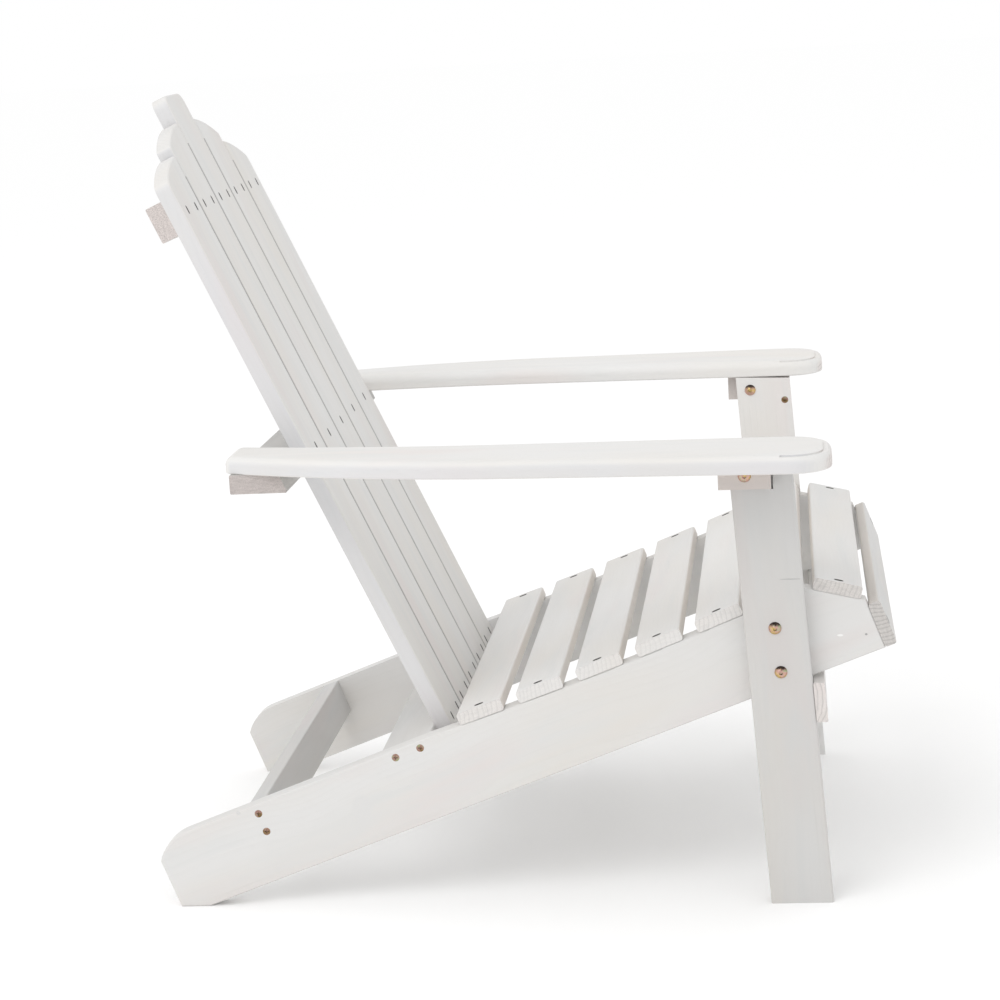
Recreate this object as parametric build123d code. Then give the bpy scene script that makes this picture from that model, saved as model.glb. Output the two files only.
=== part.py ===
from build123d import *
import os
from math import sin, cos, tan, radians, atan2, degrees, hypot

# Adirondack chair in softwood boards, screwed, stapled and bolted together.
# Lengths are in millimetres and angles in degrees.
# +Z is up, the chair faces -Y and is symmetric about X = 0.
# Side profiles are drawn as (u, z): u runs forward from the rearmost point
# of the side rails and z runs up from the ground.

os.makedirs("parts", exist_ok=True)

# Side rails: one long board each side, from the rear foot to the seat front
RAIL_ANGLE = 20.3
RAIL_HEIGHT = 87.2
RAIL_THICK = 20.0
RAIL_OUTER_X = 255.0
RAIL_INNER_X = RAIL_OUTER_X - RAIL_THICK
FOOT_U = 50.2
FOOT_LENGTH = 31.8
HEEL_HEIGHT = 55.4
HEEL_ARC_END = 12.0
HEEL_ARC_RADIUS = 49.0
SCOOP_START = 300.0
SCOOP_DROP = 4.4
PEAK_S = 732.0
PEAK_T = 89.0
RAIL_END_S = 786.0
RAIL_END_T = 53.0
RAIL_END_LOW_T = -2.0
RAIL_ROUND = 2.0

# Front legs, bolted outside the rails
LEG_WIDTH = 65.3
LEG_THICK = 20.0
LEG_OUTER_X = RAIL_OUTER_X + LEG_THICK
LEG_TILT = 3.4
LEG_FOOT_U = 660.8
LEG_ROUND = 2.5
LEG_TOP_GAP = 2.0

# Arms, level at the rear and falling slightly to the front
ARM_BOTTOM_Z = 485.5
ARM_LEVEL_U = 150.0
ARM_TILT = 0.48
ARM_THICK = 18.0
ARM_FRONT_U = 738.0
ARM_REAR_U = 112.5
ARM_INNER_X = 255.0
ARM_INNER_REAR_X = 227.0
ARM_OUTER_FRONT_X = 379.0
ARM_OUTER_MID_X = 360.0
ARM_OUTER_REAR_X = 292.0
ARM_MID_U = 390.0
ARM_INNER_CURVE = 0.28
ARM_OUTER_CURVE = 0.33
ARM_NOSE_RADIUS = 42.0
ARM_REAR_RADIUS = 10.0
ARM_TOP_ROUND = 9.0
ARM_BOTTOM_ROUND = 2.0
NOSE_STEP = 1.6
NOSE_STEP_LENGTH = 52.0

# Brackets under the arms, outside the legs, and the saw kerf in front of each
BRACKET_U = 622.3
BRACKET_LENGTH = 53.7
BRACKET_HEIGHT = 30.0
BRACKET_THICK = 20.0
KERF_WIDTH = 2.0
KERF_DEPTH = 5.0
KERF_BELOW = 4.0

# Back slats, leaning back from the seat
BACK_ANGLE = 66.1
BACK_U = 240.0
BACK_Z = 370.4
BACK_SLAT_WIDTH = 81.5
BACK_SLAT_PITCH = 82.9
BACK_SLAT_THICK = 17.5
BACK_SLAT_COUNT = 5
BACK_BOTTOM_S = -215.0
BACK_ROUND = 2.5
# Crowned tops of the centre, middle and outer slats
CROWN_S = (544.5, 512.0, 478.0)
CROWN_FALL = (0.0, 24.0, 26.0)
CROWN_RADIUS = (13.0, 5.0, 12.0)
CROWN_INNER_RADIUS = 4.0
CROWN_BULGE = 4.5

# Rails behind the back slats
UPPER_RAIL_S = 398.0
UPPER_RAIL_HEIGHT = 40.0
UPPER_RAIL_THICK = 18.8
ARM_RAIL_REAR_U = 118.0
ARM_RAIL_HEIGHT = 20.0
ARM_RAIL_END_X = 300.0
LOWER_RAIL_REAR_S = 243.0
LOWER_RAIL_THICK = 20.0

# Stretchers
REAR_STRETCHER_S = 84.0
REAR_STRETCHER_THICK = 20.0
REAR_STRETCHER_HEIGHT = 43.0
FRONT_STRETCHER_Z = 198.0
FRONT_STRETCHER_HEIGHT = 42.0
FRONT_STRETCHER_THICK = 12.0

# Seat slats
SEAT_SLAT_WIDTH = 51.0
SEAT_SLAT_THICK = 13.0
SEAT_SLAT_PITCH = 68.5
SEAT_FIRST_S = 363.7
SEAT_ON_SCOOP = 6
NOSE_SLAT_OFFSET = 34.0
FRONT_SLAT_T = 23.0
FRONT_SLAT_WIDTH = 49.0
SEAT_ROUND = 3.0
BOARD_ROUND = 1.5

# Fasteners
BOLT_DIA = 6.0
BOLT_HOLE_DIA = 6.6
BOLT_HEAD_DIA = 13.4
BOLT_HEAD_HEIGHT = 4.2
HEX_SOCKET = 4.0
HEX_SOCKET_DEPTH = 2.5
WASHER_DIA = 18.0
WASHER_THICK = 1.5
NUT_FLATS = 10.0
NUT_HEIGHT = 5.0
NUT_DOME = 5.0
NUT_BORE = 7.0
LEG_BOLTS_UZ = [(674.6, 300.1), (679.2, 252.9)]
BRACKET_BOLT_UZ = (649.4, 465.5)
SLEEVE_DIA = 8.0
SLEEVE_LENGTH = 12.0
SLEEVE_PLAY = 0.4
BOLT_TIP_GAP = 1.0
SCREW_DIA = 4.0
SCREW_HEAD_DIA = 8.4
SCREW_RECESS = 4.4
SCREW_RECESS_WIDTH = 1.1
SCREW_RECESS_DEPTH = 1.8
LONG_SCREW = 50.0
REAR_STRETCHER_SCREW_T = (76.5, 55.0)
LOWER_RAIL_SCREW_S = (259.0, 288.0)
LOWER_RAIL_SCREW_T = 79.0
BRACKET_SCREW_INSET = 10.0
BRACKET_SCREW_BITE = 12.0
ARM_RAIL_SCREW_INSET = 26.0
ARM_RAIL_SCREW = 32.0
ARM_RAIL_SCREW_X = (251.0, 271.0)
SMALL_SCREW = 16.0
SMALL_SCREW_UZ = (691.0, 452.0)
STRETCHER_SCREW = 45.0
STRETCHER_SCREW_INSET = 11.0
STAPLE_CROWN = 7.0
STAPLE_WIRE = 1.2
STAPLE_SINK = 0.8
STAPLE_MOUTH = 2.6
STAPLE_BITE = 12.0
BACK_TOP_STAPLE_S = 418.0
BACK_MID_STAPLE_S = 131.0
BACK_LOW_STAPLE_S = -198.0
BACK_STAPLE_SPREAD = 41.0
SEAT_STAPLE_X = 245.5

CUT_OVER = 1.0
RIGHT = -1
LEFT = 1


# Geometry helpers

def forward(angle):
    return cos(radians(angle)), sin(radians(angle))


def rail_point(s, t):
    """Rail coordinates (along, up from the bottom edge) to (u, z)."""
    c, n = forward(RAIL_ANGLE)
    return FOOT_U + s * c - t * n, s * n + t * c


def rail_coords(u, z):
    c, n = forward(RAIL_ANGLE)
    return (u - FOOT_U) * c + z * n, -(u - FOOT_U) * n + z * c


def back_point(s, depth):
    """Back coordinates (up the slats, behind their front face) to (u, z)."""
    c, n = forward(BACK_ANGLE)
    return BACK_U - s * c - depth * n, BACK_Z + s * n - depth * c


def back_rear_u(z):
    """Where the slats' rear face crosses the height z."""
    base_u, base_z = back_point(0, BACK_SLAT_THICK)
    return base_u - (z - base_z) / tan(radians(BACK_ANGLE))


def scoop_point(s):
    """Point of the shallow circular scoop in the rail's top edge."""
    half = (PEAK_S - SCOOP_START) / 2
    radius = (half ** 2 + SCOOP_DROP ** 2) / (2 * SCOOP_DROP)
    middle = (PEAK_S + SCOOP_START) / 2
    chord_t = (RAIL_HEIGHT + PEAK_T) / 2
    depth = (radius ** 2 - (s - middle) ** 2) ** 0.5 - (radius - SCOOP_DROP)
    tilt = (PEAK_T - RAIL_HEIGHT) / (PEAK_S - SCOOP_START)
    return s, chord_t + tilt * (s - middle) - depth


def under_arm_z(u):
    """Height of the arm's underside at u."""
    return ARM_BOTTOM_Z - (u - ARM_LEVEL_U) * tan(radians(ARM_TILT))


def arm_meets_back():
    """Where the plane under the arms crosses the rear face of the back slats."""
    fall, slope = tan(radians(ARM_TILT)), tan(radians(BACK_ANGLE))
    run = back_rear_u(ARM_BOTTOM_Z) - ARM_LEVEL_U
    z = ARM_BOTTOM_Z - run * fall / (1 - fall / slope)
    return back_rear_u(z), z


def side(point):
    """(u, z) to a model point on the plane X = 0."""
    return Vector(0, -point[0], point[1])


def polygon(points):
    return make_face(Polyline([side(p) for p in points], close=True))


def prism(face, x_from, x_to):
    """Extrude a side-profile face along X between two X positions."""
    body = extrude(face, amount=x_to - x_from, dir=(1, 0, 0))
    return Pos(x_from, 0, 0) * body


def cross_bar(points, half_length, rounding):
    """A board lying across the chair, its long edges rounded."""
    bar = prism(polygon(points), -half_length, half_length)
    return fillet(bar.edges().filter_by(Axis.X), rounding)


def mirrored(body):
    return mirror(body, about=Plane.YZ)


def left_and_right(name, right_body):
    return {name + "_right": right_body, name + "_left": mirrored(right_body)}


def local_plane(point, along, outward):
    """Plane at a surface point: local x along, local z out of the surface."""
    return Plane(origin=point, x_dir=along, z_dir=outward)


# Fasteners, drawn with the surface they sit on at z = 0 and the shank down -z

def dome(diameter, height):
    radius = ((diameter / 2) ** 2 + height ** 2) / (2 * height)
    ball = Pos(0, 0, height - radius) * Sphere(radius)
    keep = Pos(0, 0, height) * Box(diameter + 2, diameter + 2, 2 * height)
    return ball & keep


def hexagon(flats, height):
    return extrude(RegularPolygon(flats / 2, 6, major_radius=False), amount=height)


def bolt(length):
    shank = Pos(0, 0, -length / 2) * Cylinder(BOLT_DIA / 2, length)
    head = dome(BOLT_HEAD_DIA, BOLT_HEAD_HEIGHT)
    socket_z = BOLT_HEAD_HEIGHT - HEX_SOCKET_DEPTH
    return head + shank - Pos(0, 0, socket_z) * hexagon(HEX_SOCKET, BOLT_HEAD_HEIGHT)


def cap_nut():
    body = hexagon(NUT_FLATS, NUT_HEIGHT)
    cap = Pos(0, 0, NUT_HEIGHT) * dome(NUT_FLATS - 1, NUT_DOME)
    bore = Pos(0, 0, NUT_BORE / 2) * Cylinder(BOLT_DIA / 2, NUT_BORE)
    return body + cap - bore


def sleeve_nut():
    """Domed nut whose sleeve reaches into the wood around the bolt's end."""
    sleeve = Pos(0, 0, -SLEEVE_LENGTH / 2) * Cylinder(SLEEVE_DIA / 2, SLEEVE_LENGTH)
    bore = Pos(0, 0, -SLEEVE_LENGTH / 2) * Cylinder(BOLT_DIA / 2, SLEEVE_LENGTH)
    socket_z = BOLT_HEAD_HEIGHT - HEX_SOCKET_DEPTH
    socket = Pos(0, 0, socket_z) * hexagon(HEX_SOCKET, BOLT_HEAD_HEIGHT)
    return dome(BOLT_HEAD_DIA, BOLT_HEAD_HEIGHT) + sleeve - bore - socket


def washer():
    ring = Pos(0, 0, WASHER_THICK / 2) * Cylinder(WASHER_DIA / 2, WASHER_THICK)
    return ring - Cylinder(BOLT_HOLE_DIA / 2, 4 * WASHER_THICK)


def screw_blank(length):
    """Countersunk screw without its recess: also the hole it fills."""
    head_height = (SCREW_HEAD_DIA - SCREW_DIA) / 2
    outline = Polyline(
        (0, 0), (SCREW_HEAD_DIA / 2, 0), (SCREW_DIA / 2, -head_height),
        (SCREW_DIA / 2, SCREW_DIA - length), (0, -length), close=True)
    profile = Plane.XZ * make_face(outline)
    return revolve(profile, Axis.Z)


def screw(length):
    """Countersunk cross-recess screw."""
    slot = Box(SCREW_RECESS, SCREW_RECESS_WIDTH, 2 * SCREW_RECESS_DEPTH)
    return screw_blank(length) - slot - Rot(0, 0, 90) * slot


def staple_parts(board, bite):
    """A staple, and the slot and leg holes it leaves in the wood."""
    reach = board + bite
    crown = Pos(0, 0, -STAPLE_SINK - STAPLE_WIRE / 2) * Box(STAPLE_CROWN, STAPLE_WIRE, STAPLE_WIRE)
    leg_x = (STAPLE_CROWN - STAPLE_WIRE) / 2
    wire = crown
    for sign in (RIGHT, LEFT):
        leg = Box(STAPLE_WIRE, STAPLE_WIRE, reach - STAPLE_SINK)
        wire += Pos(sign * leg_x, 0, -(reach + STAPLE_SINK) / 2) * leg
    mouth = Box(STAPLE_CROWN + STAPLE_WIRE, STAPLE_MOUTH, 2 * STAPLE_SINK)
    return wire, wire + mouth


def solids_of(shapes):
    found = []
    for shape in shapes:
        found.extend(shape.solids())
    return Compound(children=found)


# Wooden boards

def arc_middle(start, end, radius):
    """The middle of an arc that bulges to the left going from end to start."""
    run, rise = start[0] - end[0], start[1] - end[1]
    chord = hypot(run, rise)
    bulge = radius - (radius ** 2 - chord ** 2 / 4) ** 0.5
    middle_s = (start[0] + end[0]) / 2 - bulge * rise / chord
    middle_t = (start[1] + end[1]) / 2 + bulge * run / chord
    return middle_s, middle_t


def side_rail():
    c, n = forward(RAIL_ANGLE)
    heel_low = (-FOOT_LENGTH * c, FOOT_LENGTH * n)
    heel_top = (heel_low[0], heel_low[1] + HEEL_HEIGHT)
    heel_middle = arc_middle((HEEL_ARC_END, RAIL_HEIGHT), heel_top, HEEL_ARC_RADIUS)
    at = lambda s, t: side(rail_point(s, t))
    middle = (PEAK_S + SCOOP_START) / 2
    edges = [
        Line(at(0, 0), at(RAIL_END_S, RAIL_END_LOW_T)),
        Line(at(RAIL_END_S, RAIL_END_LOW_T), at(RAIL_END_S, RAIL_END_T)),
        Line(at(RAIL_END_S, RAIL_END_T), at(PEAK_S, PEAK_T)),
        ThreePointArc(at(PEAK_S, PEAK_T), at(*scoop_point(middle)), at(SCOOP_START, RAIL_HEIGHT)),
        Line(at(SCOOP_START, RAIL_HEIGHT), at(HEEL_ARC_END, RAIL_HEIGHT)),
        ThreePointArc(at(HEEL_ARC_END, RAIL_HEIGHT), at(*heel_middle), at(*heel_top)),
        Line(at(*heel_top), at(*heel_low)),
        Line(at(*heel_low), at(0, 0)),
    ]
    board = prism(make_face(edges), -RAIL_OUTER_X, -RAIL_INNER_X)
    return fillet(board.faces().sort_by(Axis.X)[0].edges(), RAIL_ROUND)


def leg_edge_u(z):
    return LEG_FOOT_U - z * tan(radians(LEG_TILT))


def leg_front_u(z):
    return leg_edge_u(z) + LEG_WIDTH / cos(radians(LEG_TILT))


def front_leg():
    top = under_arm_z(BRACKET_U)
    front_u, rear_u = leg_front_u(top), leg_edge_u(top)
    points = [
        (leg_edge_u(0), 0), (leg_front_u(0), 0),
        (front_u, under_arm_z(front_u) - LEG_TOP_GAP), (rear_u, under_arm_z(rear_u)),
    ]
    board = prism(polygon(points), -LEG_OUTER_X, -RAIL_OUTER_X)
    outer = board.faces().sort_by(Axis.X)[0].edges()
    long_edges = outer.filter_by(lambda e: e.length > LEG_WIDTH * 2)
    board = fillet(long_edges, LEG_ROUND)
    kerf_u = BRACKET_U + BRACKET_LENGTH
    kerf_z = under_arm_z(kerf_u) - BRACKET_HEIGHT - KERF_BELOW
    kerf = polygon([(kerf_u, kerf_z), (kerf_u + KERF_WIDTH, kerf_z),
                    (kerf_u + KERF_WIDTH, top + CUT_OVER), (kerf_u, top + CUT_OVER)])
    return board - prism(kerf, -LEG_OUTER_X - CUT_OVER, -LEG_OUTER_X + KERF_DEPTH)


def nose_step(plateau):
    """What the router took off around the arm's nose, just outside its flat top."""
    width = ARM_OUTER_FRONT_X - ARM_INNER_X + 2 * CUT_OVER
    length = NOSE_STEP_LENGTH + CUT_OVER
    middle = (-(ARM_INNER_X + ARM_OUTER_FRONT_X) / 2, length / 2 - CUT_OVER - ARM_FRONT_U, ARM_THICK)
    return Pos(*middle) * Box(width, length, 2 * NOSE_STEP) - extrude(plateau, 2 * NOSE_STEP, both=True)


def arm():
    """Arm board, drawn in plan: a straight inner edge, a tapering rear."""
    at = lambda x, u: Vector(-x, -u, 0)
    rear_bend_u = (ARM_REAR_U + ARM_MID_U) / 2
    inner_mid_x = ARM_INNER_X - (ARM_INNER_X - ARM_INNER_REAR_X) * ARM_INNER_CURVE
    outer_mid_x = ARM_OUTER_MID_X - (ARM_OUTER_MID_X - ARM_OUTER_REAR_X) * ARM_OUTER_CURVE
    edges = [
        Line(at(ARM_INNER_X, ARM_MID_U), at(ARM_INNER_X, ARM_FRONT_U)),
        Line(at(ARM_INNER_X, ARM_FRONT_U), at(ARM_OUTER_FRONT_X, ARM_FRONT_U)),
        Line(at(ARM_OUTER_FRONT_X, ARM_FRONT_U), at(ARM_OUTER_MID_X, ARM_MID_U)),
        ThreePointArc(at(ARM_OUTER_MID_X, ARM_MID_U), at(outer_mid_x, rear_bend_u),
                      at(ARM_OUTER_REAR_X, ARM_REAR_U)),
        Line(at(ARM_OUTER_REAR_X, ARM_REAR_U), at(ARM_INNER_REAR_X, ARM_REAR_U)),
        ThreePointArc(at(ARM_INNER_REAR_X, ARM_REAR_U), at(inner_mid_x, rear_bend_u),
                      at(ARM_INNER_X, ARM_MID_U)),
    ]
    board = extrude(make_face(edges), amount=ARM_THICK, dir=(0, 0, 1))
    upright = board.edges().filter_by(Axis.Z).sort_by(Axis.Y)
    board = fillet(upright[:2], ARM_NOSE_RADIUS)
    upright = board.edges().filter_by(Axis.Z).sort_by(Axis.Y)
    board = fillet(upright[-2:], ARM_REAR_RADIUS)
    board = fillet(board.faces().sort_by(Axis.Z)[-1].edges(), ARM_TOP_ROUND)
    board = board - nose_step(board.faces().sort_by(Axis.Z)[-1])
    board = fillet(board.faces().sort_by(Axis.Z)[0].edges(), ARM_BOTTOM_ROUND)
    hinge = Pos(0, -ARM_LEVEL_U, ARM_BOTTOM_Z)
    return hinge * Rot(ARM_TILT, 0, 0) * Pos(0, ARM_LEVEL_U, 0) * board


def arm_bracket():
    front = BRACKET_U + BRACKET_LENGTH
    rear_z, front_z = under_arm_z(BRACKET_U), under_arm_z(front)
    points = [
        (BRACKET_U, rear_z - BRACKET_HEIGHT), (front, front_z - BRACKET_HEIGHT),
        (front, front_z), (BRACKET_U, rear_z),
    ]
    return prism(polygon(points), -LEG_OUTER_X - BRACKET_THICK, -LEG_OUTER_X)


def slat_outline(number):
    """Front view of a back slat: its sides, right and left, and their top ends."""
    middle = (BACK_SLAT_COUNT - 1) // 2
    centre = (number - middle) * BACK_SLAT_PITCH
    near, far = centre - BACK_SLAT_WIDTH / 2, centre + BACK_SLAT_WIDTH / 2
    rank = abs(number - middle)
    near_top = CROWN_S[rank] - (CROWN_FALL[rank] if centre < 0 else 0)
    far_top = CROWN_S[rank] - (CROWN_FALL[rank] if centre > 0 else 0)
    return near, far, near_top, far_top, CROWN_RADIUS[rank]


def back_slat(number):
    near, far, near_top, far_top, radius = slat_outline(number)
    sides = Polyline((near, near_top), (near, BACK_BOTTOM_S), (far, BACK_BOTTOM_S), (far, far_top))
    crown = Line((far, far_top), (near, near_top))
    if near_top != far_top:
        high_point = ((near + far) / 2, (near_top + far_top) / 2 + CROWN_BULGE)
        crown = ThreePointArc((far, far_top), high_point, (near, near_top))
    flat = extrude(make_face([*sides.edges(), crown]), amount=-BACK_SLAT_THICK)
    corners = flat.edges().filter_by(Axis.Z)
    top_corners = corners.filter_by(lambda e: e.center().Y > 0)
    far_corner = top_corners.sort_by(Axis.X)[-1]
    flat = fillet(far_corner, CROWN_INNER_RADIUS if far_top > near_top else radius)
    top_corners = flat.edges().filter_by(Axis.Z).filter_by(lambda e: e.center().Y > 0)
    near_corner = top_corners.sort_by(Axis.X)[0]
    flat = fillet(near_corner, CROWN_INNER_RADIUS if near_top > far_top else radius)
    flat = fillet(flat.faces().sort_by(Axis.Z)[-1].edges(), BACK_ROUND)
    return back_plane().location * flat


def back_plane():
    """Front face of the back: local x to the left side, local y up the slats."""
    c, n = forward(BACK_ANGLE)
    return Plane(origin=side((BACK_U, BACK_Z)), x_dir=(1, 0, 0), z_dir=(0, -n, c))


def upper_back_rail():
    low, high = UPPER_RAIL_S, UPPER_RAIL_S + UPPER_RAIL_HEIGHT
    front, rear = BACK_SLAT_THICK, BACK_SLAT_THICK + UPPER_RAIL_THICK
    points = [
        back_point(low, front), back_point(high, front),
        back_point(high, rear), back_point(low, rear),
    ]
    half = BACK_SLAT_PITCH * (BACK_SLAT_COUNT - 1) / 2 + BACK_SLAT_WIDTH / 2
    return cross_bar(points, half, BOARD_ROUND)


def arm_support_rail():
    low = ARM_BOTTOM_Z - ARM_RAIL_HEIGHT
    points = [
        (ARM_RAIL_REAR_U, low), (back_rear_u(low), low), arm_meets_back(),
        (ARM_RAIL_REAR_U, under_arm_z(ARM_RAIL_REAR_U)),
    ]
    return cross_bar(points, ARM_RAIL_END_X, BOARD_ROUND)


def back_rear_s(t):
    """Rail coordinate s where the slats' rear face crosses the height t."""
    s0, t0 = rail_coords(*back_point(0, BACK_SLAT_THICK))
    s1, t1 = rail_coords(*back_point(BACK_BOTTOM_S, BACK_SLAT_THICK))
    return s0 + (s1 - s0) * (t - t0) / (t1 - t0)


def lower_back_rail():
    low, high = RAIL_HEIGHT - LOWER_RAIL_THICK, RAIL_HEIGHT
    corners = [(LOWER_RAIL_REAR_S, low), (back_rear_s(low), low),
               (back_rear_s(high), high), (LOWER_RAIL_REAR_S, high)]
    return cross_bar([rail_point(s, t) for s, t in corners], RAIL_INNER_X, BOARD_ROUND)


def rear_stretcher():
    s0, s1 = REAR_STRETCHER_S, REAR_STRETCHER_S + REAR_STRETCHER_THICK
    low, high = RAIL_HEIGHT - REAR_STRETCHER_HEIGHT, RAIL_HEIGHT
    points = [rail_point(s0, low), rail_point(s1, low), rail_point(s1, high), rail_point(s0, high)]
    return cross_bar(points, RAIL_INNER_X, BOARD_ROUND)


def front_stretcher():
    low, high = FRONT_STRETCHER_Z, FRONT_STRETCHER_Z + FRONT_STRETCHER_HEIGHT
    out = FRONT_STRETCHER_THICK / cos(radians(LEG_TILT))
    points = [(leg_front_u(low), low), (leg_front_u(low) + out, low),
              (leg_front_u(high) + out, high), (leg_front_u(high), high)]
    return cross_bar(points, LEG_OUTER_X, BOARD_ROUND)


def seat_slat_frame(number):
    """Centre of a seat slat's underside, in rail coordinates, and its slope."""
    if number < SEAT_ON_SCOOP:
        s = SEAT_FIRST_S + number * SEAT_SLAT_PITCH
        rear = scoop_point(s - SEAT_SLAT_WIDTH / 2)
        front = scoop_point(s + SEAT_SLAT_WIDTH / 2)
        slope = degrees(atan2(front[1] - rear[1], front[0] - rear[0]))
        return (rear[0] + front[0]) / 2, (rear[1] + front[1]) / 2, slope, SEAT_SLAT_WIDTH
    facet = degrees(atan2(RAIL_END_T - PEAK_T, RAIL_END_S - PEAK_S))
    if number == SEAT_ON_SCOOP:
        c, n = forward(facet)
        return PEAK_S + NOSE_SLAT_OFFSET * c, PEAK_T + NOSE_SLAT_OFFSET * n, facet, SEAT_SLAT_WIDTH
    return RAIL_END_S, FRONT_SLAT_T, -90.0, FRONT_SLAT_WIDTH


def seat_slat_point(number, along, up):
    s, t, slope, _ = seat_slat_frame(number)
    c, n = forward(slope)
    return rail_point(s + along * c - up * n, t + along * n + up * c)


def seat_slat(number):
    half = seat_slat_frame(number)[3] / 2
    corners = [(-half, 0), (half, 0), (half, SEAT_SLAT_THICK), (-half, SEAT_SLAT_THICK)]
    points = [seat_slat_point(number, a, b) for a, b in corners]
    return cross_bar(points, RAIL_OUTER_X, SEAT_ROUND)


# Where the fasteners go

def across(x, u, z, outward_x):
    """Plane on a side face, its normal along X."""
    return local_plane((x, -u, z), (0, 0, 1), (outward_x, 0, 0))


def leg_bolt_planes():
    outer, inner = [], []
    for u, z in LEG_BOLTS_UZ:
        for sign in (RIGHT, LEFT):
            outer.append(across(sign * LEG_OUTER_X, u, z, sign))
            inner.append(across(sign * RAIL_INNER_X, u, z, -sign))
    return outer, inner


def bracket_bolt_planes():
    u, z = BRACKET_BOLT_UZ
    outer = [across(sign * (LEG_OUTER_X + BRACKET_THICK), u, z, sign) for sign in (RIGHT, LEFT)]
    inner = [across(sign * RAIL_OUTER_X, u, z, -sign) for sign in (RIGHT, LEFT)]
    return outer, inner


def side_screw_planes():
    """Countersunk screws through the side rails into the cross boards."""
    stretcher_s = REAR_STRETCHER_S + REAR_STRETCHER_THICK / 2
    places = [(stretcher_s, t) for t in REAR_STRETCHER_SCREW_T]
    places += [(s, LOWER_RAIL_SCREW_T) for s in LOWER_RAIL_SCREW_S]
    planes = []
    for s, t in places:
        u, z = rail_point(s, t)
        planes.extend(across(sign * RAIL_OUTER_X, u, z, sign) for sign in (RIGHT, LEFT))
    return planes


def leg_screw_planes():
    u, z = SMALL_SCREW_UZ
    return [across(sign * RAIL_OUTER_X, u, z, -sign) for sign in (RIGHT, LEFT)]


def underside(x, u, z, tilt=0.0):
    """Plane on a face looking down, tilted forward with the arms if need be."""
    c, n = forward(tilt)
    return local_plane((x, -u, z), (1, 0, 0), (0, n, -c))


def bracket_screw_planes():
    x = LEG_OUTER_X + BRACKET_THICK / 2
    front = BRACKET_U + BRACKET_LENGTH
    planes = []
    for u in (BRACKET_U + BRACKET_SCREW_INSET, front - BRACKET_SCREW_INSET):
        z = under_arm_z(u) - BRACKET_HEIGHT
        planes.extend(underside(sign * x, u, z, ARM_TILT) for sign in (RIGHT, LEFT))
    return planes


def arm_rail_screw_planes():
    z = ARM_BOTTOM_Z - ARM_RAIL_HEIGHT
    u = ARM_RAIL_REAR_U + ARM_RAIL_SCREW_INSET
    return [underside(sign * x, u, z) for sign in (RIGHT, LEFT) for x in ARM_RAIL_SCREW_X]


def stretcher_screw_planes():
    planes = []
    c, n = forward(LEG_TILT)
    top_z = FRONT_STRETCHER_Z + FRONT_STRETCHER_HEIGHT
    for z in (FRONT_STRETCHER_Z + STRETCHER_SCREW_INSET, top_z - STRETCHER_SCREW_INSET):
        u = leg_front_u(z) + FRONT_STRETCHER_THICK / c
        for sign in (RIGHT, LEFT):
            x = sign * (LEG_OUTER_X - LEG_THICK / 2)
            planes.append(local_plane((x, -u, z), (1, 0, 0), (0, -c, n)))
    return planes


def back_staple_planes(number):
    """Staples of one back slat: pairs into the top and bottom rails, one between."""
    centre = (number - (BACK_SLAT_COUNT - 1) / 2) * BACK_SLAT_PITCH
    face = back_plane()
    planes = []
    spread = (-BACK_STAPLE_SPREAD / 2, BACK_STAPLE_SPREAD / 2)
    spots = [(dx, BACK_TOP_STAPLE_S) for dx in spread]
    spots += [(dx, BACK_LOW_STAPLE_S) for dx in spread]
    spots.append((0, BACK_MID_STAPLE_S))
    for dx, s in spots:
        planes.append(local_plane(face.from_local_coords((centre + dx, s, 0)), face.y_dir, face.z_dir))
    return planes


def seat_staple_planes(number):
    c, n = forward(RAIL_ANGLE + seat_slat_frame(number)[2])
    point = side(seat_slat_point(number, 0, SEAT_SLAT_THICK))
    planes = []
    for sign in (RIGHT, LEFT):
        spot = point + Vector(sign * SEAT_STAPLE_X, 0, 0)
        planes.append(local_plane(spot, (0, -c, n), (0, n, c)))
    return planes


def placed(shape, planes):
    return [plane.location * shape for plane in planes]


def cut(nodes, names, tools):
    for name in names:
        nodes[name] = nodes[name] - tools


# Assembly

def wooden_nodes():
    nodes = {}
    nodes.update(left_and_right("side_rail", side_rail()))
    nodes.update(left_and_right("front_leg", front_leg()))
    nodes.update(left_and_right("arm", arm()))
    nodes.update(left_and_right("arm_bracket", arm_bracket()))
    for number in range(BACK_SLAT_COUNT):
        nodes[f"back_slat_{number + 1}"] = back_slat(number)
    nodes["upper_back_rail"] = upper_back_rail()
    nodes["arm_support_rail"] = arm_support_rail()
    nodes["lower_back_rail"] = lower_back_rail()
    nodes["rear_stretcher"] = rear_stretcher()
    nodes["front_stretcher"] = front_stretcher()
    for number in range(SEAT_ON_SCOOP + 2):
        nodes[f"seat_slat_{number + 1}"] = seat_slat(number)
    return nodes


def pair(name):
    return [name + "_right", name + "_left"]


def drill(nodes, woods, planes, grip):
    hole = Cylinder(BOLT_HOLE_DIA / 2, 2 * grip + 4 * CUT_OVER)
    cut(nodes, woods, placed(hole, planes))


def add_leg_bolts(nodes):
    """Bolts with a washer and a cap nut inside the rails."""
    outer, inner = leg_bolt_planes()
    grip = LEG_THICK + RAIL_THICK
    length = grip + WASHER_THICK + NUT_BORE - BOLT_TIP_GAP
    nodes["leg_bolts"] = solids_of(placed(bolt(length), outer))
    nodes["leg_washers"] = solids_of(placed(washer(), inner))
    seat = Pos(0, 0, WASHER_THICK) * cap_nut()
    nodes["leg_nuts"] = solids_of(placed(seat, inner))
    drill(nodes, pair("front_leg") + pair("side_rail"), outer, grip)


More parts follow.
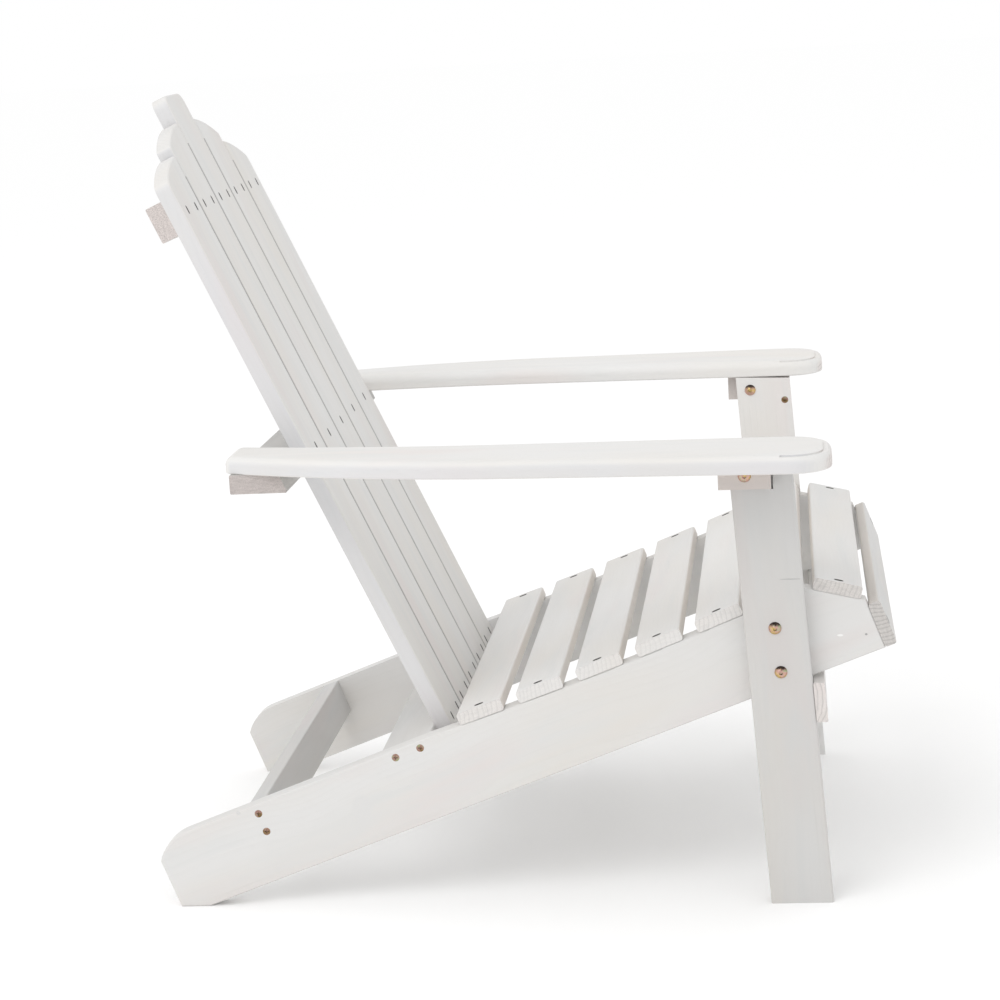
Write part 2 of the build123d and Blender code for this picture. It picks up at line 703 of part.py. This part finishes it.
def add_bracket_bolts(nodes):
    """Bolts into domed sleeve nuts on the inner face of the legs."""
    outer, inner = bracket_bolt_planes()
    grip = BRACKET_THICK + LEG_THICK
    nodes["bracket_bolts"] = solids_of(placed(bolt(grip - BOLT_TIP_GAP), outer))
    nodes["bracket_nuts"] = solids_of(placed(sleeve_nut(), inner))
    drill(nodes, pair("front_leg") + pair("arm_bracket"), outer, grip)
    sleeve_hole = Cylinder(SLEEVE_DIA / 2 + SLEEVE_PLAY, 2 * (SLEEVE_LENGTH + SLEEVE_PLAY))
    cut(nodes, pair("front_leg"), placed(sleeve_hole, inner))


def add_screws(nodes, name, planes, length, woods):
    nodes[name] = solids_of(placed(screw(length), planes))
    cut(nodes, woods, placed(screw_blank(length), planes))


def add_back_staples(nodes):
    wire, hole = staple_parts(BACK_SLAT_THICK, STAPLE_BITE)
    staples = []
    for number in range(BACK_SLAT_COUNT):
        planes = back_staple_planes(number)
        staples.extend(placed(wire, planes))
        cut(nodes, [f"back_slat_{number + 1}"], placed(hole, planes))
        cut(nodes, ["upper_back_rail"], placed(hole, planes[0:2]))
        cut(nodes, ["lower_back_rail"], placed(hole, planes[2:4]))
        cut(nodes, ["arm_support_rail"], placed(hole, planes[4:5]))
    nodes["back_staples"] = solids_of(staples)


def add_seat_staples(nodes):
    wire, hole = staple_parts(SEAT_SLAT_THICK, STAPLE_BITE)
    staples = []
    for number in range(SEAT_ON_SCOOP + 2):
        planes = seat_staple_planes(number)
        staples.extend(placed(wire, planes))
        cut(nodes, [f"seat_slat_{number + 1}"], placed(hole, planes))
        cut(nodes, ["side_rail_right"], placed(hole, planes[:1]))
        cut(nodes, ["side_rail_left"], placed(hole, planes[1:]))
    nodes["seat_staples"] = solids_of(staples)


def build():
    nodes = wooden_nodes()
    add_leg_bolts(nodes)
    add_bracket_bolts(nodes)
    add_screws(nodes, "side_rail_screws", side_screw_planes(), LONG_SCREW,
               pair("side_rail") + ["rear_stretcher", "lower_back_rail"])
    add_screws(nodes, "leg_top_screws", leg_screw_planes(), SMALL_SCREW, pair("front_leg"))
    add_screws(nodes, "bracket_screws", bracket_screw_planes(), BRACKET_HEIGHT + BRACKET_SCREW_BITE,
               pair("arm_bracket") + pair("arm"))
    add_screws(nodes, "arm_rail_screws", arm_rail_screw_planes(), ARM_RAIL_SCREW,
               ["arm_support_rail"] + pair("arm"))
    add_screws(nodes, "front_stretcher_screws", stretcher_screw_planes(), STRETCHER_SCREW,
               ["front_stretcher"] + pair("front_leg"))
    add_back_staples(nodes)
    add_seat_staples(nodes)
    return nodes


def centred(nodes):
    """Move the chair so that the middle of its depth is at Y = 0."""
    boxes = [shape.bounding_box() for shape in nodes.values()]
    middle = (min(b.min.Y for b in boxes) + max(b.max.Y for b in boxes)) / 2
    return {name: Pos(0, -middle, 0) * shape for name, shape in nodes.items()}


for node_name, node_shape in centred(build()).items():
    export_step(node_shape, f"parts/{node_name}.step")
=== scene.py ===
import bpy, bmesh, math
from mathutils import Matrix, Vector

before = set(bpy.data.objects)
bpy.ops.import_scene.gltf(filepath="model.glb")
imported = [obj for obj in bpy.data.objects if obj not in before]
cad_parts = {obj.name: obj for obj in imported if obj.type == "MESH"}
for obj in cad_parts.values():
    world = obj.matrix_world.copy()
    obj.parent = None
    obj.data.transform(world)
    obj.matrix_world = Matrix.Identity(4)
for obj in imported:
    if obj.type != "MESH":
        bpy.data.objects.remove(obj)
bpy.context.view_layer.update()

# Slopes of the side rails and the back, and the lean of the legs
RAIL_ANGLE = math.radians(20.3)
BACK_ANGLE = math.radians(66.1)
LEG_TILT = math.radians(3.4)

# Directions along and across the boards, in the row frame
ACROSS = Vector((1, 0, 0))
RAIL_DIR = Vector((0, -math.cos(RAIL_ANGLE), math.sin(RAIL_ANGLE)))
RAIL_UP = Vector((0, math.sin(RAIL_ANGLE), math.cos(RAIL_ANGLE)))
BACK_UP = Vector((0, math.cos(BACK_ANGLE), math.sin(BACK_ANGLE)))
LEG_UP = Vector((0, math.sin(LEG_TILT), math.cos(LEG_TILT)))
LEG_FRONT = Vector((0, -math.cos(LEG_TILT), math.sin(LEG_TILT)))
FORWARD = Vector((0, -1, 0))
UP = Vector((0, 0, 1))


# Node helpers

class Nodes:
    """Small wrapper that makes a material's node tree readable."""

    def __init__(self, name):
        self.material = bpy.data.materials.new(name)
        self.material.use_nodes = True
        self.tree = self.material.node_tree
        self.tree.nodes.clear()

    def add(self, kind, **settings):
        node = self.tree.nodes.new(kind)
        for key, value in settings.items():
            setattr(node, key, value)
        return node

    def feed(self, socket, value):
        if isinstance(value, bpy.types.NodeSocket):
            self.tree.links.new(value, socket)
        else:
            socket.default_value = value

    def math(self, operation, a, b=0.0):
        node = self.add("ShaderNodeMath", operation=operation)
        self.feed(node.inputs[0], a)
        self.feed(node.inputs[1], b)
        return node.outputs[0]

    def dot(self, vector, direction):
        node = self.add("ShaderNodeVectorMath", operation="DOT_PRODUCT")
        self.feed(node.inputs[0], vector)
        node.inputs[1].default_value = direction
        return node.outputs["Value"]

    def combine(self, x, y, z):
        node = self.add("ShaderNodeCombineXYZ")
        for socket, value in zip(node.inputs, (x, y, z)):
            self.feed(socket, value)
        return node.outputs[0]

    def noise(self, vector, scale, detail=2.0, rough=0.5, distortion=0.0):
        node = self.add("ShaderNodeTexNoise")
        self.feed(node.inputs["Vector"], vector)
        node.inputs["Scale"].default_value = scale
        node.inputs["Detail"].default_value = detail
        node.inputs["Roughness"].default_value = rough
        node.inputs["Distortion"].default_value = distortion
        return node.outputs["Fac"]

    def stretch(self, along, over, deep, length_scale, cross_scale):
        return self.combine(self.math("MULTIPLY", along, length_scale),
                            self.math("MULTIPLY", over, cross_scale),
                            self.math("MULTIPLY", deep, cross_scale))

    def section(self, over, deep, seed, over_scale, deep_scale):
        scaled_over = self.math("MULTIPLY", over, over_scale)
        return self.combine(seed, scaled_over, self.math("MULTIPLY", deep, deep_scale))

    def blob(self, where, centre, size):
        """A soft ellipsoid mask, 1 inside it."""
        moved = self.add("ShaderNodeVectorMath", operation="SUBTRACT")
        self.feed(moved.inputs[0], where)
        moved.inputs[1].default_value = centre
        shrunk = self.add("ShaderNodeVectorMath", operation="DIVIDE")
        self.feed(shrunk.inputs[0], moved.outputs[0])
        shrunk.inputs[1].default_value = size
        reach = self.add("ShaderNodeVectorMath", operation="LENGTH")
        self.feed(reach.inputs[0], shrunk.outputs[0])
        return self.span(reach.outputs["Value"], 1.15, 0.75, smooth=True)

    def dent(self, where, centre, length, width, halves):
        """A slot-shaped mask around a sunken staple."""
        powers = []
        for axis, half in zip((length, width), halves):
            offset = self.math("SUBTRACT", self.dot(where, axis), centre.dot(axis))
            reach = self.math("ABSOLUTE", self.math("DIVIDE", offset, half))
            powers.append(self.math("POWER", reach, 3.0))
        return self.span(self.math("ADD", *powers), 1.25, 0.70, smooth=True)

    def span(self, value, low, high, to_low=0.0, to_high=1.0, smooth=False):
        node = self.add("ShaderNodeMapRange", clamp=True)
        node.interpolation_type = "SMOOTHSTEP" if smooth else "LINEAR"
        for socket, item in zip(node.inputs, (value, low, high, to_low, to_high)):
            self.feed(socket, item)
        return node.outputs[0]

    def mix(self, factor, a, b, blend="MIX"):
        node = self.add("ShaderNodeMix", data_type="RGBA", blend_type=blend)
        self.feed(node.inputs["Factor"], factor)
        self.feed(node.inputs[6], a)
        self.feed(node.inputs[7], b)
        return node.outputs[2]

    def bump(self, height, distance):
        node = self.add("ShaderNodeBump")
        node.inputs["Strength"].default_value = 1.0
        node.inputs["Distance"].default_value = distance
        self.feed(node.inputs["Height"], height)
        return node.outputs[0]

    def surface(self, color, roughness, normal=None, metallic=0.0, specular=0.5):
        shader = self.add("ShaderNodeBsdfPrincipled")
        self.feed(shader.inputs["Base Color"], color)
        self.feed(shader.inputs["Roughness"], roughness)
        shader.inputs["Metallic"].default_value = metallic
        shader.inputs["Specular IOR Level"].default_value = specular
        if normal is not None:
            self.feed(shader.inputs["Normal"], normal)
        out = self.add("ShaderNodeOutputMaterial")
        self.feed(out.inputs["Surface"], shader.outputs[0])
        return self.material


def rgb(r, g, b):
    return (r, g, b, 1.0)


def tinted(color, tint):
    return tuple(c * part for c, part in zip(color[:3], tint)) + (1.0,)


def scaled(color, factor):
    return tinted(color, (factor, factor, factor))


# Materials

PAINT = rgb(0.712, 0.705, 0.694)
END_TINT = rgb(0.600, 0.540, 0.515)
WARM = (0.985, 0.960, 0.925)
PINK = (0.985, 0.945, 0.935)
COOL = (0.950, 0.965, 0.970)

ZINC_GOLD = rgb(0.62, 0.45, 0.18)
ZINC_PINK = rgb(0.60, 0.36, 0.32)
ZINC_GREEN = rgb(0.44, 0.46, 0.28)
DARK_TOP_REFLECTION = rgb(0.05, 0.035, 0.03)
TARNISH = rgb(0.10, 0.055, 0.03)
WIRE_DARK = rgb(0.020, 0.018, 0.016)
WIRE_LIGHT = rgb(0.075, 0.068, 0.060)

# How dark the grain, the painted shade in the back slat joints and the painted shade in the staple slots
# are, against the paint
GRAIN_SHADE = 0.80
JOINT_PAINTED_SHADE = 0.14
JOINT_SHADOW_ON_FACE = 0.62
STAPLE_SLOT_PAINTED_SHADE = 0.10

# Relief of the grain in metres, and how many times deeper a sawn end is
GRAIN_DEPTH = 0.00025
END_RELIEF = 2.4

# Growth rings: their number per metre, and how far they sway and curl, in metres
RINGS_PER_METRE = 210.0
RING_SWAY = 0.085
RING_CURL = 0.006

# Metres of shift along the grain for each step of a board's seed
SEED_STEP = 0.41

# Places and half sizes in the row frame, in metres. A joint between back slats is held
# as its reach from the middle and its top, a staple as its offset and its height.
BACK_FOOT = Vector((0, 0.1600, 0.3704))
BACK_DENT = (0.0050, 0.0022)
SEAT_DENT = (0.0034, 0.0050)
BACK_PITCH = 0.0829
JOINT_SHADOW_REACH = (0.0034, 0.0010)
INNER_JOINT = (0.080, 0.486)
OUTER_JOINT = (0.195, 0.452)
BACK_STAPLES = ((-0.0205, 0.418), (0.0205, 0.418), (-0.0205, -0.198), (0.0205, -0.198), (0.0, 0.131))
SEAT_STAPLE_X = 0.2455
LEG_SCRATCH = ((-0.275, -0.2930, 0.3517), (0.02, 0.0115, 0.0007))
RAIL_CHIP = ((-0.255, -0.3424, 0.2855), (0.02, 0.0032, 0.0013))
RAIL_DOT = ((-0.255, -0.3692, 0.2858), (0.02, 0.0014, 0.0012))
RAIL_STAIN = ((-0.255, 0.1740, 0.1080), (0.02, 0.0110, 0.0160))
RAIL_DENT = ((-0.255, 0.3096, 0.1055), (0.02, 0.0026, 0.0018))


def node_centre(node):
    """Middle of a CAD node's box, in the row frame."""
    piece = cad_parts[node]
    corners = [piece.matrix_world @ Vector(corner) for corner in piece.bound_box]
    return sum(corners, Vector()) / len(corners)


def board_axes(n, where, centre, length, width, seed):
    """Distances from the board's middle along its length, width and thickness."""
    shift = SEED_STEP * seed
    along = n.math("SUBTRACT", n.dot(where, length), centre.dot(length) - shift)
    over = n.math("SUBTRACT", n.dot(where, width), centre.dot(width))
    thick = length.cross(width)
    deep = n.math("SUBTRACT", n.dot(where, thick), centre.dot(thick))
    return along, over, deep


def late_wood(n, along, over, deep, seed, pith):
    """Growth rings about a pith line beside the board, bent slowly along it."""
    wander = n.noise(n.combine(n.math("MULTIPLY", along, 1.6), over, seed), 2.2, 1.0)
    sway = n.math("MULTIPLY", n.math("SUBTRACT", wander, 0.5), RING_SWAY)
    curl = n.noise(n.section(over, deep, seed, 60.0, 60.0), 1.0, 2.0)
    pith_over, pith_deep = pith or (0.013 * math.sin(seed), 0.045 + 0.01 * math.cos(seed * 2.1))
    ring_x = n.math("ADD", n.math("ADD", over, sway), pith_over)
    ring_y = n.math("ADD", deep, pith_deep)
    square = n.math("ADD", n.math("MULTIPLY", ring_x, ring_x), n.math("MULTIPLY", ring_y, ring_y))
    radius = n.math("ADD", n.math("SQRT", square), n.math("MULTIPLY", curl, RING_CURL))
    ring = n.math("FRACT", n.math("MULTIPLY", radius, RINGS_PER_METRE))
    return n.math("MULTIPLY", n.span(ring, 0.50, 0.92, smooth=True), n.span(ring, 1.0, 0.93))


def washed_paint(n, paint, late, ring_tone, fibre, brush, patch, blush):
    """Thin white paint, with warm, pink and cool parts where the wood shows through."""
    warm, pink, cool = (tinted(paint, tint) for tint in (WARM, PINK, COOL))
    grain = scaled(warm, GRAIN_SHADE)
    color = n.mix(n.span(patch, 0.40, 0.75), paint, warm)
    color = n.mix(n.span(blush, 0.56, 0.78), color, pink)
    color = n.mix(n.math("MULTIPLY", n.span(brush, 0.5, 0.75), 0.6), color, cool)
    color = n.mix(n.math("MULTIPLY", late, ring_tone), color, grain)
    return n.mix(n.math("MULTIPLY", n.span(fibre, 0.60, 0.80), 0.16), color, grain)


def end_grain(n, over, deep, late, seed, end, ring_end, speckle):
    """Sawn end: ridges of late wood and saw marks, and the colour over them."""
    pores = n.noise(n.section(over, deep, seed, 900.0, 900.0), 1.0, 2.0)
    saw = n.noise(n.section(over, deep, seed, 90.0, 420.0), 1.0, 2.0)
    saw_ridge = n.math("MULTIPLY", n.span(saw, 0.4, 0.7), 0.35)
    ridge = n.math("ADD", n.math("MULTIPLY", late, ring_end), saw_ridge)
    color = n.mix(ridge, scaled(end, 1.16), scaled(end, 0.62))
    pore_mask = n.math("MULTIPLY", n.span(pores, 0.46, 0.62), speckle)
    return ridge, n.mix(pore_mask, color, scaled(end, 0.66))


def wood_height(n, fibre, late, brush):
    """Fine relief of the fibres, the late wood and the brush strokes."""
    height = n.math("ADD", n.math("MULTIPLY", fibre, 0.45), n.math("MULTIPLY", late, 0.22))
    return n.math("ADD", height, n.math("MULTIPLY", brush, 0.6))


def board_material(name, centre, length, width, seed, tone=1.0, tint=PAINT, end=END_TINT, end_mix=0.55,
                   ring_tone=0.05, ring_end=0.75, speckle=0.35, side=None, pith=None, marks=(), dents=(),
                   dent_halves=BACK_DENT, joint=None):
    """White wash on softwood: thin paint over fibres, growth rings and end grain."""
    n = Nodes(name)
    where = n.add("ShaderNodeTexCoord").outputs["Object"]
    facet = n.add("ShaderNodeNewGeometry").outputs["True Normal"]
    along, over, deep = board_axes(n, where, centre, length, width, seed)
    late = late_wood(n, along, over, deep, seed, pith)
    fibre = n.noise(n.stretch(along, over, deep, 5.0, 190.0), 1.6, 3.0, 0.6)
    brush = n.noise(n.stretch(along, over, deep, 7.0, 48.0), 1.0, 2.0, 0.5, 0.4)
    patch = n.noise(n.stretch(along, over, deep, 2.4, 8.0), 1.3, 2.0)
    blush = n.noise(n.stretch(along, over, deep, 4.0, 16.0), 1.1, 1.0)

    paint = scaled(tint, tone)
    color = washed_paint(n, paint, late, ring_tone, fibre, brush, patch, blush)
    # Side faces get a tint: painted shade on the arm and back slat sides, bare wood and painted shade on
    # the seat slat edges
    if side is not None:
        at_side = n.span(n.math("ABSOLUTE", n.dot(facet, width)), 0.75, 0.95)
        color = n.mix(at_side, color, side, blend="MULTIPLY")
    at_end = n.span(n.math("ABSOLUTE", n.dot(facet, length)), 0.80, 0.92)
    ridge, end_color = end_grain(n, over, deep, late, seed, scaled(end, tone), ring_end, speckle)
    color = n.mix(n.math("MULTIPLY", at_end, end_mix), color, end_color)
    if joint is not None:
        # Painted shade in the gaps between the back slats, and a painted shadow line beside each gap
        color = n.mix(joint(n, where, facet), color, scaled(paint, JOINT_PAINTED_SHADE))

    height = n.math("SUBTRACT", wood_height(n, fibre, late, brush),
                    n.math("MULTIPLY", n.math("MULTIPLY", at_end, ridge), END_RELIEF * end_mix))
    for (mark_centre, size), shade, depth in marks:
        mark = n.blob(where, mark_centre, size)
        color = n.mix(mark, color, scaled(paint, shade))
        height = n.math("SUBTRACT", height, n.math("MULTIPLY", mark, depth))
    # Painted shade in the slots of the sunken staples
    for dent_centre in dents:
        dent = n.dent(where, dent_centre, length, width, dent_halves)
        color = n.mix(dent, color, scaled(tinted(paint, WARM), STAPLE_SLOT_PAINTED_SHADE))
    rough = n.span(brush, 0.3, 0.8, 0.46, 0.62)
    return n.surface(color, rough, n.bump(height, GRAIN_DEPTH), specular=0.35)


def back_joint(n, where, facet):
    """Painted shade on the sides of the back slats where they meet, and a painted shadow line on the face
    edges beside each joint.
    """
    x = n.math("ABSOLUTE", n.dot(where, ACROSS))
    up = n.math("SUBTRACT", n.dot(where, BACK_UP), BACK_FOOT.dot(BACK_UP))
    # Painted shade on the slat sides inside the gaps
    sideways = n.span(n.math("ABSOLUTE", n.dot(facet, ACROSS)), 0.55, 0.90)
    inner, outer = (n.math("MULTIPLY", n.math("LESS_THAN", x, reach), n.math("LESS_THAN", up, top))
                    for reach, top in (INNER_JOINT, OUTER_JOINT))
    joints = n.math("MAXIMUM", inner, outer)
    # A painted shadow line on the face beside each joint
    place = n.math("PINGPONG", n.math("SUBTRACT", x, BACK_PITCH / 2), BACK_PITCH / 2)
    edge = n.math("MULTIPLY", n.span(place, *JOINT_SHADOW_REACH), JOINT_SHADOW_ON_FACE)
    return n.math("MULTIPLY", n.math("MAXIMUM", sideways, edge), joints)


def zinc_material(name, seed, shine=(1.0, 1.0)):
    """Yellow-passivated zinc: gold with pink and green patches, and a painted dark reflection on the
    upward faces.
    """
    n = Nodes(name)
    where = n.add("ShaderNodeTexCoord").outputs["Object"]
    facet = n.add("ShaderNodeNewGeometry").outputs["True Normal"]
    shade = n.noise(where, 120.0 + seed, 2.0, 0.6)
    color = n.mix(n.span(shade, 0.42, 0.54), ZINC_GOLD, ZINC_PINK)
    color = n.mix(n.span(shade, 0.56, 0.66), color, ZINC_GREEN)
    fine = n.noise(where, 900.0, 2.0)
    # Painted dark reflection: darker where the faces point up, broken up by noise
    top_reflection_mask = n.math("ADD", n.dot(facet, UP), n.math("MULTIPLY", n.noise(where, 420.0, 2.0), 0.5))
    color = n.mix(n.span(top_reflection_mask, 0.50, 0.85), color, DARK_TOP_REFLECTION)
    color = n.mix(n.span(shade, 0.35, 0.65, *shine), TARNISH, color)
    return n.surface(color, n.span(fine, 0.3, 0.7, 0.26, 0.42), n.bump(fine, 0.00004), metallic=0.9)


def steel_material(name):
    """Dark, dull staple wire."""
    n = Nodes(name)
    where = n.add("ShaderNodeTexCoord").outputs["Object"]
    fine = n.noise(where, 700.0, 2.0)
    color = n.mix(fine, WIRE_DARK, WIRE_LIGHT)
    return n.surface(color, n.span(fine, 0.3, 0.7, 0.5, 0.7), n.bump(fine, 0.00003), specular=0.3)


def paint_node(node, material):
    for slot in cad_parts[node].material_slots:
        slot.material = material


# Tones of the right and left boards, and tints of the sides of arms and slats (painted shade, and bare
# wood too on seat slats)
LEG_TONES = (0.82, 1.04)
RAIL_TONES = (0.95, 0.96)
ARM_TONES = (1.02, 1.05)
ARM_SIDE_PAINTED_SHADE = rgb(0.90, 0.91, 0.94)
BACK_SIDE_PAINTED_SHADE = rgb(0.92, 0.93, 0.96)

# Each mark: where it is and how big, its shade against the paint, its depth
RAIL_MARKS = (
    (RAIL_CHIP, 1.22, 0.5),
    (RAIL_DOT, 0.55, 1.0),
    (RAIL_STAIN, 0.965, 0.0),
    (RAIL_DENT, 0.90, 1.0),
)
LEG_MARKS = ((LEG_SCRATCH, 0.80, 0.6),)

# Seat slats from rear to front, their slopes in degrees
SEAT_TONES = (1.02, 1.02, 1.02, 1.02, 1.05, 1.02, 0.97, 0.85)
SEAT_FIRST_SLOPE = 18.9
SEAT_SLOPE_STEP = 0.74
SEAT_NOSE_SLOPES = (-13.4, -69.7)
SEAT_END = rgb(0.590, 0.560, 0.535)
SEAT_END_MIX = (0.55, 0.36, 0.30, 0.33, 0.45, 0.90, 0.80, 0.80)
SEAT_EDGE_WOOD_AND_SHADE = rgb(0.97, 0.93, 0.89)


def paint_board(node, length, width, seed, **finish):
    paint_node(node, board_material(f"{node}_paint", node_centre(node), length, width, seed, **finish))


def paint_sides():
    for index, side in enumerate(("right", "left")):
        near = side == "right"
        paint_board(f"side_rail_{side}", RAIL_DIR, RAIL_UP, 1.0 + index, tone=RAIL_TONES[index],
                    marks=RAIL_MARKS if near else ())
        paint_board(f"front_leg_{side}", LEG_UP, LEG_FRONT, 3.0 + index, tone=LEG_TONES[index],
                    ring_tone=0.03, marks=LEG_MARKS if near else ())
        # Only the near arm's side face gets the painted shade tint
        paint_board(f"arm_{side}", FORWARD, ACROSS, 5.0 + index, tone=ARM_TONES[index], ring_tone=0.03,
                    side=ARM_SIDE_PAINTED_SHADE if near else None)
        paint_board(f"arm_bracket_{side}", FORWARD, UP, 7.0 + index, tone=0.80, tint=rgb(0.76, 0.70, 0.67))


def paint_back():
    for number in range(1, 6):
        middle = ACROSS * (number - 3) * BACK_PITCH + BACK_FOOT
        dents = [middle + ACROSS * x + BACK_UP * up for x, up in BACK_STAPLES]
        paint_board(f"back_slat_{number}", BACK_UP, ACROSS, 10.0 + number, tone=0.98, end_mix=0.05,
                    side=BACK_SIDE_PAINTED_SHADE, dents=dents, joint=back_joint)
    paint_board("upper_back_rail", ACROSS, BACK_UP, 31.0, tone=0.91, end_mix=0.9,
                ring_end=0.12, speckle=0.8)
    paint_board("arm_support_rail", ACROSS, FORWARD, 32.0, tone=0.74, end_mix=0.95,
                ring_end=0.15, speckle=0.5)
    paint_board("lower_back_rail", ACROSS, RAIL_DIR, 33.0, tone=0.84)


def paint_seat():
    slopes = [SEAT_FIRST_SLOPE + SEAT_SLOPE_STEP * step for step in range(6)]
    for number, slope in enumerate([*slopes, *SEAT_NOSE_SLOPES], 1):
        node = f"seat_slat_{number}"
        width = Vector((0, -math.cos(math.radians(slope)), math.sin(math.radians(slope))))
        dents = [node_centre(node) + ACROSS * x for x in (-SEAT_STAPLE_X, SEAT_STAPLE_X)]
        pith = (0.055 + 0.02 * math.sin(3.1 * number), 0.012)
        paint_board(node, ACROSS, width, 20.0 + number, tone=SEAT_TONES[number - 1], end=SEAT_END,
                    end_mix=SEAT_END_MIX[number - 1], ring_end=0.45 + 0.10 * math.cos(2.3 * number),
                    side=SEAT_EDGE_WOOD_AND_SHADE, pith=pith, dents=dents, dent_halves=SEAT_DENT)
    # The rear stretcher under the seat is toned darker: painted shade
    paint_board("rear_stretcher", ACROSS, RAIL_UP, 34.0, tone=0.80)
    paint_board("front_stretcher", ACROSS, UP, 35.0)


def paint_hardware():
    zinc = zinc_material("yellow_zinc", 0.0)
    screw = zinc_material("dull_zinc", 7.0, shine=(0.10, 0.70))
    staple = steel_material("staple_wire")
    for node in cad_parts:
        if node.endswith("staples"):
            paint_node(node, staple)
        elif node.endswith("screws"):
            paint_node(node, screw)
        elif node.endswith(("bolts", "nuts", "washers")):
            paint_node(node, zinc)


# Studio

FLOOR_RADIUS = 30.0
FLOOR_COLOR = rgb(0.995, 0.995, 0.995)
KEY_PLACE = Vector((-2.6, 1.6, 3.2))
KEY_TARGET = Vector((0, 0, 0.4))
KEY_SIZE = 2.6
KEY_POWER = 40.0


def make_floor():
    mesh = bmesh.new()
    bmesh.ops.create_circle(mesh, cap_ends=True, segments=96, radius=FLOOR_RADIUS)
    data = bpy.data.meshes.new("studio_floor")
    mesh.to_mesh(data)
    mesh.free()
    floor = bpy.data.objects.new("studio_floor", data)
    bpy.context.scene.collection.objects.link(floor)
    n = Nodes("studio_floor")
    data.materials.append(n.surface(FLOOR_COLOR, 0.9, specular=0.0))


def make_key():
    data = bpy.data.lights.new("key", "AREA")
    data.shape = "SQUARE"
    data.size = KEY_SIZE
    data.energy = KEY_POWER
    light = bpy.data.objects.new("key", data)
    light.location = KEY_PLACE
    light.rotation_euler = (KEY_TARGET - KEY_PLACE).to_track_quat("-Z", "Y").to_euler()
    bpy.context.scene.collection.objects.link(light)


def make_light():
    world = bpy.data.worlds.new("studio")
    bpy.context.scene.world = world
    world.use_nodes = True
    background = world.node_tree.nodes["Background"]
    background.inputs["Color"].default_value = rgb(1.0, 1.0, 1.0)
    background.inputs["Strength"].default_value = 1.0
    make_key()
    bpy.context.scene.view_settings.view_transform = "Standard"


CAMERA_PLACE = Vector((-2.8918, -0.3030, 0.9688))
CAMERA_YAW = math.radians(6.67)
CAMERA_PITCH = math.radians(11.24)
CAMERA_ROLL = math.radians(3.26)
CAMERA_LENS = 93.33


def make_camera():
    data = bpy.data.cameras.new("photo_camera")
    data.sensor_width = 36.0
    data.lens = CAMERA_LENS
    camera = bpy.data.objects.new("photo_camera", data)
    bpy.context.scene.collection.objects.link(camera)
    level = math.cos(CAMERA_PITCH)
    look = Vector((math.cos(CAMERA_YAW) * level, math.sin(CAMERA_YAW) * level, -math.sin(CAMERA_PITCH)))
    right = Vector((math.sin(CAMERA_YAW), -math.cos(CAMERA_YAW), 0))
    down = -(UP - look * UP.dot(look)).normalized()
    rolled_right = right * math.cos(CAMERA_ROLL) + down * math.sin(CAMERA_ROLL)
    rolled_down = -right * math.sin(CAMERA_ROLL) + down * math.cos(CAMERA_ROLL)
    turn = Matrix((rolled_right, -rolled_down, -look)).transposed().to_4x4()
    camera.matrix_world = Matrix.Translation(CAMERA_PLACE) @ turn
    bpy.context.scene.camera = camera


paint_sides()
paint_back()
paint_seat()
paint_hardware()
make_floor()
make_light()
make_camera()
